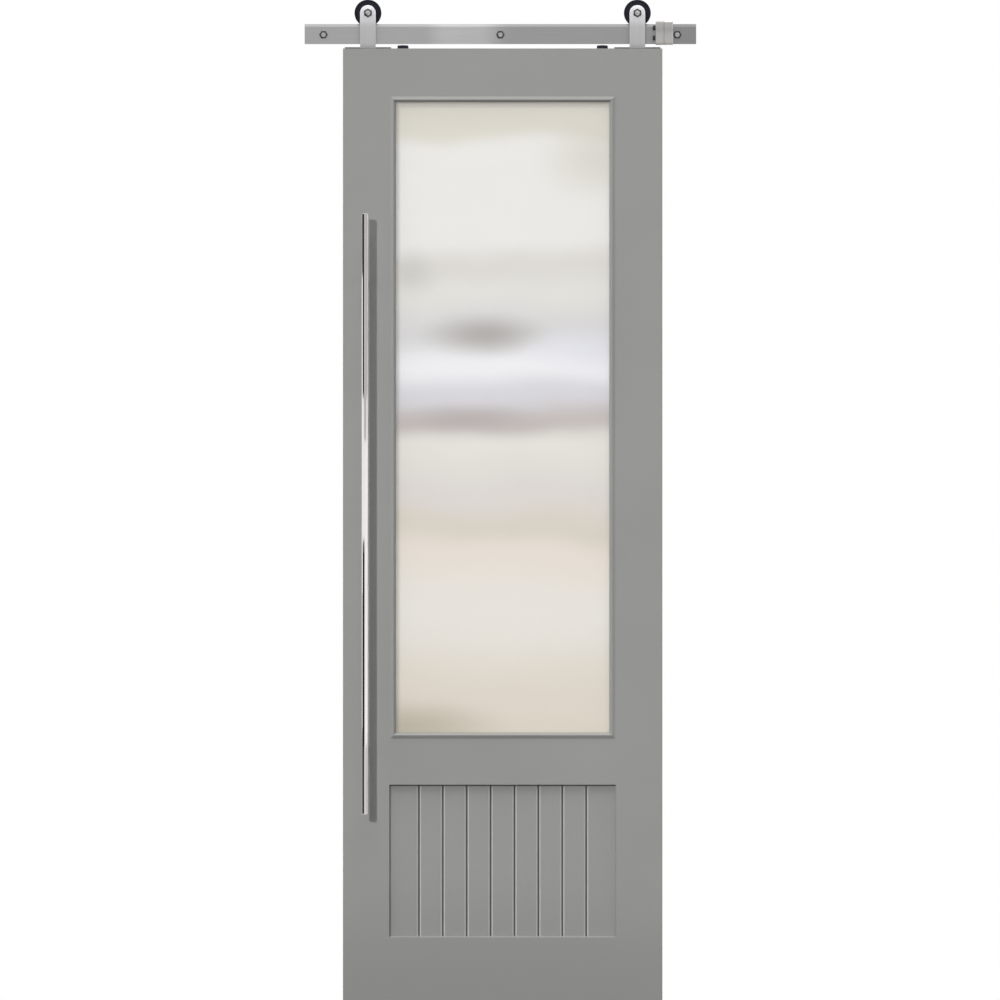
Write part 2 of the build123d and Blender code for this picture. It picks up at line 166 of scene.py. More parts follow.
class BarnDoorFinishes(bpy.types.PropertyGroup):
    """Colours of the finishes."""

    paint: colour("Paint", (0.292, 0.294, 0.283), "Satin grey paint of the leaf")
    steel: colour("Brushed steel", (0.60, 0.595, 0.595), "Brushed steel of the rail")
    pale_steel: colour("Pale steel", (0.75, 0.74, 0.755), "Lighter brushed steel of the straps")
    stop_steel: colour("Stop steel", (0.735, 0.72, 0.695), "Warm brushed steel of the stop")
    # The feet's dark tint is painted shade, where the feet sit under the rail
    foot_shade_steel: colour("Foot steel", (0.22, 0.22, 0.225), "Dark raw steel of the hangers' feet")
    polish: colour("Polished steel", (0.88, 0.855, 0.84), "Polished steel of the bar pull")
    bolt: colour("Bolt steel", (0.62, 0.62, 0.64), "Worn tops of the bolt heads")
    # The bolt heads' dark edges are painted shade
    bolt_edge_shade: colour("Bolt edge", (0.035, 0.035, 0.042), "Dark edges of the bolt heads")
    nylon: colour("Nylon", (0.0105, 0.011, 0.0175), "Black nylon of wheels and discs")
    rubber: colour("Rubber", (0.011, 0.011, 0.011), "Black rubber of the bumpers")


class BarnDoorStudio(bpy.types.PropertyGroup):
    """Camera and light."""

    camera_distance: length("Camera distance", 60.0, "From the camera to the leaf's face")
    view_width: length("View width", 2.2264, "Width that the picture shows at the leaf's face")
    view_x: number("View centre X", -0.0009, "Picture centre across", unit="LENGTH")
    view_z: number("View centre Z", -1.0362, "Picture centre up", unit="LENGTH")
    floor_drop: length("Floor drop", 0.012, "From the leaf's lower edge to the floor")
    ambient: number("Ambient", 0.15, "Even light from all round", min=0.0)
    key: number("Key", 1.79, "Strength of the key light from upper left", min=0.0)
    key_right: number("Key run right", 0.435, "Key light's run right per unit of depth")
    key_down: number("Key fall", 0.39, "Key light's fall per unit of depth")
    left_light: number("Left", 0.8, "Strength of the soft light from the left", min=0.0)
    right_light: number("Right", 0.6, "Strength of the soft light from the right", min=0.0)
    top: number("Top", 2.35, "Strength of the soft light from above", min=0.0)
    back_light: number("Back light", 115.0, "Power of the soft light behind", min=0.0)


# Surfaces worked out with numpy


def node_box(node):
    """Lowest and highest corner of a node of the part, as arrays."""
    low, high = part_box(node)
    return np.array(low), np.array(high)


def node_centre(node):
    """Middle of a node's box."""
    low, high = node_box(node)
    return (low + high) / 2


def grid_part(points, close_rows=False, **marks):
    """A part from a grid of points: quads between neighbours, each row a ring, the end rows capped.

    With close_rows the last row meets the first instead.

    marks are named arrays of one number for each point, kept with the mesh.
    """
    rows, columns = points.shape[:2]
    row = np.arange(rows if close_rows else rows - 1)
    first, second = np.meshgrid(row, np.arange(columns), indexing="ij")
    next_row, next_column = (first + 1) % rows, (second + 1) % columns
    corners = (
        first * columns + second,
        first * columns + next_column,
        next_row * columns + next_column,
        next_row * columns + second,
    )
    faces = np.stack(corners, axis=-1).reshape(-1, 4).tolist()
    if not close_rows:
        faces.append(list(range(columns))[::-1])
        faces.append(list(range((rows - 1) * columns, rows * columns)))
    shape = (rows, columns)
    flat_marks = {name: np.broadcast_to(values, shape).ravel() for name, values in marks.items()}
    return points.reshape(-1, 3), faces, flat_marks


def round_basis(axis):
    """Two unit vectors across an axis along X, Y or Z: level first, then up or back."""
    if abs(axis[0]) > 0.5:
        return Y_AXIS, Z_AXIS
    return (X_AXIS, Z_AXIS) if abs(axis[1]) > 0.5 else (X_AXIS, Y_AXIS)


def turned(origin, axis, radii, heights, turns, closed=False, **marks):
    """A turned form: origin + radius (cos a side + sin a up) + height axis, row by row.

    A row's radius and height are one number, or one for each of the angles.
    """
    angle = np.arange(turns) * math.tau / turns
    side, up = round_basis(axis)
    spokes = np.outer(np.cos(angle), side) + np.outer(np.sin(angle), up)
    radius = np.stack([np.broadcast_to(value, turns) for value in radii])
    height = np.stack([np.broadcast_to(value, turns) for value in heights])
    points = origin + radius[..., None] * spokes + height[..., None] * axis
    columns = {name: np.asarray(values)[:, None] for name, values in marks.items()}
    return grid_part(points, close_rows=closed, **columns)


def quarter_round(radius, steps):
    """Distances in from the side and from the end along a quarter round that starts at the end."""
    angle = np.linspace(0.0, math.pi / 2, steps + 1)
    return radius * (1 - np.sin(angle)), radius * (1 - np.cos(angle))


def hexagon_radius(flats, turns, corner_angle=0.0):
    """Radius of a hexagon at each angle: half the flats over the cosine from a flat's middle."""
    angle = np.arange(turns) * math.tau / turns - corner_angle
    return flats / 2 / np.cos(np.mod(angle, math.pi / 3) - math.pi / 6)


def hexagon_head(origin, axis, flats, height, turns, corner_angle=0.0, dome=0.0):
    """A hexagon head: its sides end where a 30 degree cone cuts them, and its top may be domed.

    Side height at an angle is height - (hexagon radius - crown radius) tan 30.
    """
    crown = 0.36 * flats
    hexagon = hexagon_radius(flats, turns, corner_angle)
    shoulder = height - (hexagon - crown) * math.tan(math.pi / 6)
    share = np.linspace(1.0, 0.0, 7)
    radii = [hexagon, hexagon, *(crown * share)]
    heights = [0.0, shoulder, *(height + dome * (1 - share**2))]
    # The sides and the chamfer are marked for the dark edge tint, a painted shade
    dark = [1.0, 1.0, 1.0, 0.25, *np.zeros(len(share) - 2)]
    return turned(origin, axis, radii, heights, turns, dark_edge=dark)


def socket_screw(origin, axis, diameter):
    """A countersunk screw head just proud of its seat, with a hexagon socket."""
    rim = diameter / 2
    socket = hexagon_radius(0.44 * diameter, SCREW_TURNS)
    depth = 0.22 * diameter
    proud = 0.0002
    radii = [0.45 * rim, rim, 0.97 * rim, socket, socket, 0.0]
    heights = [-0.5 * rim, -0.04 * rim, proud, proud, -depth, -1.1 * depth]
    # The rim and the socket are marked for the dark edge tint, a painted shade
    return turned(origin, axis, radii, heights, SCREW_TURNS, dark_edge=[1, 1, 0.1, 0.2, 1, 1])


def rectangle(low, high):
    """A rectangle's corners, anticlockwise."""
    return [(low[0], low[1]), (high[0], low[1]), (high[0], high[1]), (low[0], high[1])]


def rounded_outline(corners, radii, steps):
    """An outline with tangent arcs at its corners, run anticlockwise, and its outward normals.

    An arc's centre lies at the corner - r (n1 + n2) / (1 + n1 n2), where n1 and n2 are the
    normals of the two sides; the sign turns round at an inner corner.
    """
    corners = np.asarray(corners, float)
    radii = np.asarray(radii, float)
    incoming = corners - np.roll(corners, 1, axis=0)
    incoming /= np.linalg.norm(incoming, axis=1, keepdims=True)
    outgoing = np.roll(incoming, -1, axis=0)
    before = np.stack([incoming[:, 1], -incoming[:, 0]], axis=1)
    after = np.stack([outgoing[:, 1], -outgoing[:, 0]], axis=1)
    cross = incoming[:, 0] * outgoing[:, 1] - incoming[:, 1] * outgoing[:, 0]
    dot = np.sum(incoming * outgoing, axis=1)
    turn = np.arctan2(cross, dot)
    reach = (np.sign(turn) * radii)[:, None]
    centres = corners - reach * (before + after) / (1 + dot)[:, None]
    share = np.linspace(0.0, 1.0, steps + 1)
    angle = np.arctan2(before[:, 1], before[:, 0])[:, None] + turn[:, None] * share
    normals = np.stack([np.cos(angle), np.sin(angle)], axis=-1)
    points = centres[:, None, :] + reach[:, None, :] * normals
    return points.reshape(-1, 2), normals.reshape(-1, 2)


def slab(outline, normals, origin, axes, depth, edge, steps, hole=None):
    """An outline carried through a depth, its two rims rounded: it steps in by the quarter round.

    axes are the outline's two directions and the depth's. A hole is an outline with as many points.
    """
    inset, start = quarter_round(edge, steps)
    insets = np.concatenate([inset, inset[::-1]])
    depths = np.concatenate([start, depth - start[::-1]])
    flat = outline[None] - insets[:, None, None] * normals[None]
    levels = np.broadcast_to(depths[:, None], flat.shape[:2])
    if hole is not None:
        flat = np.concatenate([flat, hole[None], hole[None]])
        ends = np.array([depth, 0.0])
        levels = np.concatenate([levels, np.broadcast_to(ends[:, None], (2, len(hole)))])
    across, up, through = axes
    points = origin + flat[..., :1] * across + flat[..., 1:] * up + levels[..., None] * through
    return grid_part(points, close_rows=hole is not None)


def extruded(profile, origin, axes, lengths):
    """A closed profile carried straight between two lengths, each one number or one per point."""
    across, up, along = axes
    flat = origin + profile[:, :1] * across + profile[:, 1:] * up
    ends = [flat + np.reshape(end, (-1, 1)) * along for end in lengths]
    return grid_part(np.stack(ends))


def add_piece(name, parts, body, finish, replaces=()):
    """Joins parts into one mesh object at the origin that rides on a body.

    It is shaded smooth, with normals weighted by area so that flat and straight faces stay true.
    """
    points = np.concatenate([part[0] for part in parts])
    starts = np.cumsum([0] + [len(part[0]) for part in parts])
    faces = [
        [index + start for index in face]
        for part, start in zip(parts, starts)
        for face in part[1]
    ]
    mesh = bpy.data.meshes.new(name)
    mesh.from_pydata(points.tolist(), [], faces)
    for mark in sorted({mark for part in parts for mark in part[2]}):
        values = np.concatenate([part[2].get(mark, np.zeros(len(part[0]))) for part in parts])
        numbers = mesh.attributes.new(mark, "FLOAT", "POINT").data
        numbers.foreach_set("value", values.astype(np.float32))
    work = bmesh.new()
    work.from_mesh(mesh)
    bmesh.ops.remove_doubles(work, verts=work.verts, dist=WELD_DISTANCE)
    bmesh.ops.recalc_face_normals(work, faces=work.faces)
    work.to_mesh(mesh)
    work.free()
    mesh.polygons.foreach_set("use_smooth", np.ones(len(mesh.polygons), bool))
    mesh.set_sharp_from_angle(angle=SMOOTH_LIMIT)
    mesh.materials.append(FINISHES[finish])
    piece = bpy.data.objects.new(name, mesh)
    bpy.context.scene.collection.objects.link(piece)
    piece.modifiers.new("true_faces", "WEIGHTED_NORMAL").keep_sharp = True
    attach(piece, body)
    if replaces:
        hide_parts(*replaces)


def dress_node(node, finish):
    """Gives a node of the part its finish."""
    piece = frame["nodes"][node]
    piece.data.materials.clear()
    piece.data.materials.append(FINISHES[finish])


# Finishes


class Finish:
    """A material under way: its nodes, and short ways to add to them."""

    def __init__(self, name):
        self.material = bpy.data.materials.new(name)
        self.material.use_nodes = True
        self.nodes = self.material.node_tree.nodes
        self.links = self.material.node_tree.links
        self.shader = self.nodes["Principled BSDF"]
        self.place = self.nodes.new("ShaderNodeTexCoord").outputs["Object"]

    def feed(self, socket, value):
        """Links an output to a socket, or sets the socket's own value."""
        if isinstance(value, bpy.types.NodeSocket):
            self.links.new(value, socket)
        else:
            socket.default_value = value

    def set(self, **values):
        """Feeds the shader's own sockets, with spaces written as underscores."""
        for name, value in values.items():
            self.feed(self.shader.inputs[name.replace("_", " ")], value)

    def node(self, kind, **values):
        """A new node with its sockets fed, spaces in their names written as underscores."""
        node = self.nodes.new(f"ShaderNode{kind}")
        for name, value in values.items():
            self.feed(node.inputs[name.replace("_", " ")], value)
        return node

    def along(self, axis):
        """The object coordinate along X, Y or Z."""
        return self.node("SeparateXYZ", Vector=self.place).outputs[axis]

    def stretched(self, scale, location=(0.0, 0.0, 0.0)):
        """Object coordinates, stretched by a scale on each axis."""
        node = self.node("Mapping", Vector=self.place, Scale=scale, Location=location)
        return node.outputs["Vector"]

    def distance(self, scale, location=(0.0, 0.0, 0.0)):
        """Length of the stretched object coordinates."""
        node = self.node("VectorMath")
        node.operation = "LENGTH"
        self.feed(node.inputs[0], self.stretched(scale, location))
        return node.outputs["Value"]

    def noise(self, place, scale, detail=2.0, roughness=0.5):
        """Soft noise over a place."""
        node = self.node("TexNoise", Vector=place, Scale=scale, Detail=detail, Roughness=roughness)
        return node.outputs["Fac"]

    def ramp(self, value, stops):
        """A colour that runs through stops of (place, colour) as the value goes from 0 to 1."""
        node = self.node("ValToRGB", Fac=value)
        node.color_ramp.interpolation = "EASE"
        elements = node.color_ramp.elements
        elements.remove(elements[1])
        elements[0].position = stops[0][0]
        elements[0].color = (*stops[0][1], 1.0)
        for place, tint in stops[1:]:
            elements.new(place).color = (*tint, 1.0)
        return node.outputs["Color"]

    def spread(self, value, low, high, from_low=NOISE_LOW, from_high=NOISE_HIGH, kind="LINEAR"):
        """Maps a value's range onto another."""
        limits = {"From_Min": from_low, "From_Max": from_high, "To_Min": low, "To_Max": high}
        node = self.node("MapRange", Value=value, **limits)
        node.interpolation_type = kind
        return node.outputs["Result"]

    def blend(self, share, first, second):
        """Two colours mixed by a share. Either may be a colour or an output."""
        node = self.node("Mix", Factor=share)
        node.data_type = "RGBA"
        for socket, value in ((node.inputs[6], first), (node.inputs[7], second)):
            self.feed(socket, value if isinstance(value, bpy.types.NodeSocket) else (*value, 1.0))
        return node.outputs[2]

    def drift(self, noise, tint, low, high):
        """A tint that drifts with a noise between a low and a high share of itself."""
        return self.blend(self.spread(noise, 0, 1), scaled(tint, low), scaled(tint, high))

    def math(self, operation, first, second):
        """The result of an operation on two values, each a number or an output."""
        node = self.node("Math")
        node.operation = operation
        self.feed(node.inputs[0], first)
        self.feed(node.inputs[1], second)
        return node.outputs["Value"]

    def bump(self, height, strength, distance):
        """Relief of the shader's surface."""
        node = self.node("Bump", Height=height, Strength=strength, Distance=distance)
        self.set(Normal=node.outputs["Normal"])

    def mark(self, name):
        """A number kept with each point of the mesh."""
        node = self.node("Attribute")
        node.attribute_name = name
        return node.outputs["Fac"]


def scaled(tint, share):
    """A colour lighter or darker by a share."""
    return tuple(min(1.0, value * share) for value in tint)


def paint_finish(name, tint, grooved=False):
    """Satin paint: roller stipple, slight drift of tone and gloss, and a painted shade that
    darkens it towards the lower edge.

    In V grooves a painted shade darkens the bottom and a painted highlight lightens the arrises.
    """
    finish = Finish(name)
    tone = finish.drift(finish.noise(finish.place, 3.0, 3.0), tint, 0.965, 1.03)
    # Painted shade: the paint darkens towards the leaf's lower edge
    low, high = node_box("bottom_rail")
    painted_low_shade = finish.spread(finish.along("Z"), 1.0, 0.0, low[2] + 0.04, high[2] + 0.16, "SMOOTHSTEP")
    tone = finish.blend(painted_low_shade, tone, scaled(tint, 0.86))
    if grooved:
        # Painted shade in the bottoms of the V grooves and a painted highlight along their arrises
        run = groove_run(finish)
        groove_painted_shade = finish.spread(run, 1.0, 0.0, 0.25, 0.6, "SMOOTHSTEP")
        arris_painted_highlight = finish.math(
            "MULTIPLY",
            finish.spread(run, 0.0, 1.0, 0.4, 0.7, "SMOOTHSTEP"),
            finish.spread(run, 1.0, 0.0, 1.0, 1.35, "SMOOTHSTEP"),
        )
        tone = finish.blend(arris_painted_highlight, tone, scaled(tint, 1.65))
        tone = finish.blend(groove_painted_shade, tone, scaled(tint, 0.4))
    finish.set(Base_Color=tone)
    stipple = finish.noise(finish.place, 620.0, 3.0, 0.55)
    sweep = finish.noise(finish.stretched((90.0, 90.0, 9.0)), 1.0, 2.0)
    finish.set(Roughness=finish.spread(sweep, 0.40, 0.50))
    height = finish.math("ADD", stipple, finish.math("MULTIPLY", sweep, 1.5))
    finish.bump(height, 0.10, 0.00018)
    finish.set(Specular_IOR_Level=0.22)
    return finish.material


def groove_run(finish):
    """How far a place lies from the nearest V groove's bottom, in half widths of the groove."""
    sizes = bpy.context.scene.barn_door_sizes
    reach = sizes.groove_pitch * (sizes.panel_grooves - 1) / 2
    middle = node_centre("grooved_panel")[0]
    edge = reach + 2 * sizes.groove_half
    inside = finish.math("MAXIMUM", finish.along("X"), middle - edge)
    inside = finish.math("MINIMUM", inside, middle + edge)
    offset = finish.math("SUBTRACT", inside, middle - reach)
    away = finish.math("PINGPONG", offset, sizes.groove_pitch / 2)
    return finish.math("DIVIDE", away, sizes.groove_half)


def glass_finish():
    """Acid-etched glass: a fine ground surface whose colour carries painted light and shade of a
    blurred room beyond, in bands and forms.

    A narrow strip beside the left and the top bead is darker: the beads' painted shadow.
    """
    finish = Finish("satin_glass")
    across, up = finish.along("X"), finish.along("Z")
    sway = finish.noise(finish.stretched((3.0, 1.0, 4.0)), 1.0, 2.0, 0.45)
    bent = finish.math("ADD", up, finish.spread(sway, -0.018, 0.018))
    low, high = node_box("glass_pane")
    # Painted light and shade of a blurred room beyond the glass, in bands by height
    bands = (
        (0.00, (0.809, 0.755, 0.653)),
        (0.06, (0.816, 0.760, 0.673)),
        (0.20, (0.896, 0.866, 0.814)),
        (0.29, (0.884, 0.826, 0.753)),
        (0.33, (0.784, 0.732, 0.649)),
        (0.38, (0.821, 0.782, 0.746)),
        (0.455, (0.875, 0.855, 0.808)),
        (0.49, (0.648, 0.600, 0.581)),
        (0.535, (0.780, 0.771, 0.800)),
        (0.577, (0.968, 0.958, 0.979)),
        (0.63, (0.789, 0.779, 0.779)),
        (0.69, (0.859, 0.849, 0.808)),
        (0.735, (0.820, 0.800, 0.761)),
        (0.78, (0.927, 0.917, 0.886)),
        (0.92, (0.929, 0.919, 0.888)),
        (0.955, (0.822, 0.792, 0.713)),
    )
    tone = finish.ramp(finish.spread(bent, 0.0, 1.0, low[2], high[2]), bands)
    # Painted light and shade of blurred forms beyond the glass
    forms = (
        ((-0.035, -0.668), (0.17, 0.060), (0.46, 0.44, 0.41), 0.80),
        ((0.190, -0.700), (0.17, 0.065), (0.86, 0.86, 0.93), 0.75),
        ((-0.070, -0.855), (0.22, 0.042), (0.50, 0.45, 0.45), 0.55),
        ((-0.200, -1.540), (0.25, 0.075), (0.50, 0.46, 0.36), 0.70),
        ((0.210, -0.280), (0.16, 0.110), (0.70, 0.66, 0.57), 0.50),
        ((-0.195, -0.530), (0.07, 0.070), (0.60, 0.60, 0.56), 0.45),
    )
    for (x, z), (half_width, half_height), tint, strength in forms:
        scale = (1 / half_width, 0.0, 1 / half_height)
        away = finish.distance(scale, (-x / half_width, 0.0, -z / half_height))
        share = finish.spread(away, strength, 0.0, 0.0, 1.0, "SMOOTHSTEP")
        tone = finish.blend(share, tone, tint)
    # Painted shadow of the left and the top bead on the glass
    left, top = node_box("front_bead_left")[1][0], node_box("front_bead_top")[0][2]
    left_bead_shadow = finish.spread(across, 0.28, 0.0, left + 0.0065, left + 0.012, "SMOOTHSTEP")
    top_bead_shadow = finish.spread(up, 0.0, 0.36, top - 0.0155, top - 0.009, "SMOOTHSTEP")
    tone = finish.blend(finish.math("MAXIMUM", left_bead_shadow, top_bead_shadow), tone, (0.45, 0.43, 0.40))
    finish.set(Base_Color=tone)
    etch = finish.noise(finish.place, 1800.0, 2.0)
    finish.set(Roughness=finish.spread(etch, 0.36, 0.5))
    finish.bump(etch, 0.06, 0.0001)
    finish.set(Transmission_Weight=0.75, IOR=1.5)
    return finish.material


def brushed_finish(name, tint, dark, grain, axis, node, painted_light):
    """Brushed steel: fine lines along one axis in tone, gloss and relief.

    grain is the lines' stretch. The stops along an axis of a node's box paint the steel lighter
    or darker, as painted highlight and shade, given as (place, share of bright, share of frost);
    frosted steel scatters light instead of mirroring it. The hangers' marked feet take the dark
    tint, a painted shade.
    """
    finish = Finish(name)
    lines = finish.noise(finish.stretched(grain), 1.0, 4.0, 0.6)
    low, high = node_box(node)
    index = "XYZ".index(axis)
    run = finish.spread(finish.along(axis), 0.0, 1.0, low[index], high[index])
    share = finish.ramp(run, [(place, (bright, bright, bright)) for place, bright, frost in painted_light])
    dull = finish.drift(lines, tint, 0.62, 0.70)
    bright = finish.drift(lines, tint, 1.14, 1.30)
    tone = finish.blend(share, dull, bright)
    # Points marked as the hangers' feet take the dark tint, a painted shade
    finish.set(Base_Color=finish.blend(finish.mark("raw_steel"), tone, dark))
    finish.set(Roughness=finish.spread(lines, 0.30, 0.44))
    finish.bump(lines, 0.09, 0.00012)
    metal = [(place, (1 - frost, 1 - frost, 1 - frost)) for place, bright, frost in painted_light]
    finish.set(Metallic=finish.ramp(run, metal))
    return finish.material


def polished_finish(tint):
    """Polished steel: long faint draw lines and a little haze."""
    finish = Finish("polished_steel")
    lines = finish.noise(finish.stretched((420.0, 420.0, 2.5)), 1.0, 3.0, 0.6)
    haze = finish.noise(finish.place, 40.0, 2.0)
    finish.set(Base_Color=finish.drift(lines, tint, 0.88, 1.06))
    finish.set(Roughness=finish.spread(haze, 0.035, 0.075))
    finish.bump(lines, 0.05, 0.00008)
    finish.set(Metallic=1.0)
    return finish.material


def bolt_finish(tint, dark):
    """Bolt steel: bright worn tops, and dark edges that are painted shade."""
    finish = Finish("bolt_steel")
    grime = finish.noise(finish.place, 420.0, 3.0, 0.6)
    worn = finish.drift(grime, tint, 0.82, 1.08)
    edge = finish.math("MULTIPLY", finish.mark("dark_edge"), finish.spread(grime, 0.88, 1.0))
    finish.set(Base_Color=finish.blend(edge, worn, dark))
    finish.set(Roughness=finish.spread(grime, 0.22, 0.34))
    finish.bump(grime, 0.05, 0.0001)
    finish.set(Metallic=1.0)
    return finish.material


def nylon_finish(tint):
    """Black nylon: turning rings that follow the wheel's profile, and a faint grain."""
    finish = Finish("black_nylon")
    grain = finish.noise(finish.place, 900.0, 2.0)
    finish.set(Base_Color=finish.drift(finish.noise(finish.place, 70.0), tint, 0.8, 1.35))
    rings = finish.math("SINE", finish.math("MULTIPLY", finish.mark("profile_run"), 9000.0), 0.0)
    finish.set(Roughness=finish.spread(grain, 0.44, 0.56))
    finish.bump(finish.math("ADD", grain, finish.math("MULTIPLY", rings, 0.12)), 0.08, 0.0002)
    finish.set(Specular_IOR_Level=0.25)
    return finish.material


def rubber_finish(tint):
    """Black rubber: matt, with a moulded grain."""
    finish = Finish("black_rubber")
    grain = finish.noise(finish.place, 700.0, 3.0)
    finish.set(Base_Color=finish.drift(grain, tint, 0.7, 1.5))
    finish.set(Roughness=finish.spread(grain, 0.40, 0.56))
    finish.bump(grain, 0.12, 0.0002)
    return finish.material


def make_finishes():
    """Every finish of the door, by name."""
    tints = bpy.context.scene.barn_door_finishes
    level, upright = (5.0, 700.0, 900.0), (900.0, 700.0, 6.0)
    # Painted highlight and shade along the rail, darkest towards its right end
    rail_painted_light = (
        (0.0, 0.55, 0.0),
        (0.30, 0.6, 0.0),
        (0.36, 1.0, 0.0),
        (0.44, 0.95, 0.0),
        (0.53, 0.32, 0.0),
        (0.90, 0.3, 0.0),
        (0.945, 0.0, 0.0),
        (1.0, 0.0, 0.0),
    )
    # Painted highlight on the straps, white towards their round heads
    strap_painted_light = (
        (0.0, 0.1, 0.0),
        (0.14, 0.5, 0.0),
        (0.46, 0.55, 0.0),
        (0.70, 0.9, 0.15),
        (0.86, 0.95, 0.40),
        (0.95, 1.0, 0.85),
    )
    # Painted shade along the stop's lower edge and a painted highlight along its top
    stop_painted_light = (
        (0.03, 0.0, 0.0),
        (0.11, 0.5, 0.0),
        (0.38, 0.45, 0.0),
        (0.60, 0.2, 0.0),
        (0.86, 0.42, 0.0),
        (0.94, 1.0, 1.0),
    )
    steel, pale, warm, dark = tints.steel, tints.pale_steel, tints.stop_steel, tints.foot_shade_steel
    return {
        "paint": paint_finish("grey_paint", tints.paint),
        "panel_paint": paint_finish("grey_panel_paint", tints.paint, grooved=True),
        "glass": glass_finish(),
        "rail": brushed_finish(
            "brushed_steel_level", steel, dark, level, "X", "track_rail", rail_painted_light
        ),
        "strap": brushed_finish(
            "brushed_steel_upright", pale, dark, upright, "Z", "left_hanger", strap_painted_light
        ),
        "stop": brushed_finish(
            "brushed_steel_stop", warm, dark, upright, "Z", "stop_head", stop_painted_light
        ),
        "polish": polished_finish(tints.polish),
        "bolt": bolt_finish(tints.bolt, tints.bolt_edge_shade),
        "nylon": nylon_finish(tints.nylon),
        "rubber": rubber_finish(tints.rubber),
    }


# Pieces


class BARNDOOR_OT_leaf(bpy.types.Operator):
    """Paint the leaf's stiles, rails and grooved panel"""

    bl_idname = "barn_door.leaf"
    bl_label = "Painted Leaf"

    def execute(self, context):
        for node in ("left_stile", "right_stile", "top_rail", "lock_rail", "bottom_rail"):
            dress_node(node, "paint")
        dress_node("grooved_panel", "panel_paint")
        return {"FINISHED"}


class BARNDOOR_OT_glazing(bpy.types.Operator):
    """Glaze the leaf: satin pane, and mitred beads with a round crown on both faces"""

    bl_idname = "barn_door.glazing"
    bl_label = "Glass and Beads"

    def execute(self, context):
        dress_node("glass_pane", "glass")
        sizes = context.scene.barn_door_sizes
        for face, out in (("front", -Y_AXIS), ("back", Y_AXIS)):
            boxes = {side: node_box(f"{face}_bead_{side}") for side in BEAD_SIDES}
            for side in BEAD_SIDES:
                bead = bead_part(face, side, out, boxes, sizes)
                add_piece(f"{face}_{side}_bead", [bead], "door", "paint", [f"{face}_bead_{side}"])
        return {"FINISHED"}


def bead_part(face, side, out, boxes, sizes):
    """A mitred bead: slope up, round crest, slope to the glass, ends cut back by distance in."""
    low = np.minimum(boxes["left"][0], boxes["bottom"][0])
    high = np.maximum(boxes["right"][1], boxes["top"][1])
    centre, half = (low + high) / 2, (high - low) / 2
    inward = {"top": -Z_AXIS, "bottom": Z_AXIS, "left": X_AXIS, "right": -X_AXIS}[side]
    along = X_AXIS if side in ("top", "bottom") else Z_AXIS
    stile_low, stile_high = node_box("left_stile")
    face_y = stile_low[1] if face == "front" else stile_high[1]
    bead_low, bead_high = boxes[side]
    width = np.abs(inward) @ (bead_high - bead_low)
    drop = face_y * out[1] - np.min(np.stack([bead_low, bead_high]) @ out)
    corners = [
        (0.0, -drop),
        (width, -drop),
        (width, -sizes.bead_drop),
        (sizes.bead_crest, sizes.bead_peak),
        (0.0, sizes.bead_rise),
    ]
    sharp, toe = 0.0001, 0.0006
    radii = [sharp, sharp, toe, sizes.bead_round, sharp]
    profile, _ = rounded_outline(corners, radii, sizes.arc_steps)
    origin = np.array([centre[0], face_y, centre[2]]) - inward * (np.abs(inward) @ half)
    reach = np.abs(along) @ half - profile[:, 0] - sizes.mitre_gap
    return extruded(profile, origin, (inward, out, along), (-reach, reach))


class BARNDOOR_OT_rail(bpy.types.Operator):
    """Finish the wall rail and its standoffs, and make the wall bolts' hexagon heads"""

    bl_idname = "barn_door.rail"
    bl_label = "Rail and Wall Bolts"

    def execute(self, context):
        sizes = context.scene.barn_door_sizes
        dress_node("track_rail", "rail")
        for place in WALL_BOLTS:
            dress_node(f"{place}_standoff", "rail")
            low, high = node_box(f"{place}_wall_bolt")
            seat = node_centre(f"{place}_wall_bolt")
            seat[1] = low[1] + sizes.wall_head
            flats = high[2] - low[2]
            standoff_low, standoff_high = node_box(f"{place}_standoff")
            shank = 0.27 * (standoff_high[0] - standoff_low[0])
            head = hexagon_head(seat, -Y_AXIS, flats, sizes.wall_head, sizes.turns)
            stem = turned(seat, Y_AXIS, (shank, shank), (0.0, high[1] - seat[1]), sizes.turns // 2)
            add_piece(f"{place}_rail_bolt", [head, stem], "track", "bolt", [f"{place}_wall_bolt"])
        return {"FINISHED"}


class BARNDOOR_OT_rollers(bpy.types.Operator):
    """Make the grooved wheels and their shielded bearings"""

    bl_idname = "barn_door.rollers"
    bl_label = "Rollers"

    def execute(self, context):
        sizes = context.scene.barn_door_sizes
        for side in SIDES:
            body = f"{side}_roller"
            wheel = wheel_part(side, sizes)
            add_piece(f"{side}_grooved_wheel", [wheel], body, "nylon", [f"{side}_wheel"])
            bearing = bearing_part(side, sizes)
            add_piece(f"{side}_bearing", [bearing], body, "strap", [f"{side}_wheel_bearing"])
        return {"FINISHED"}


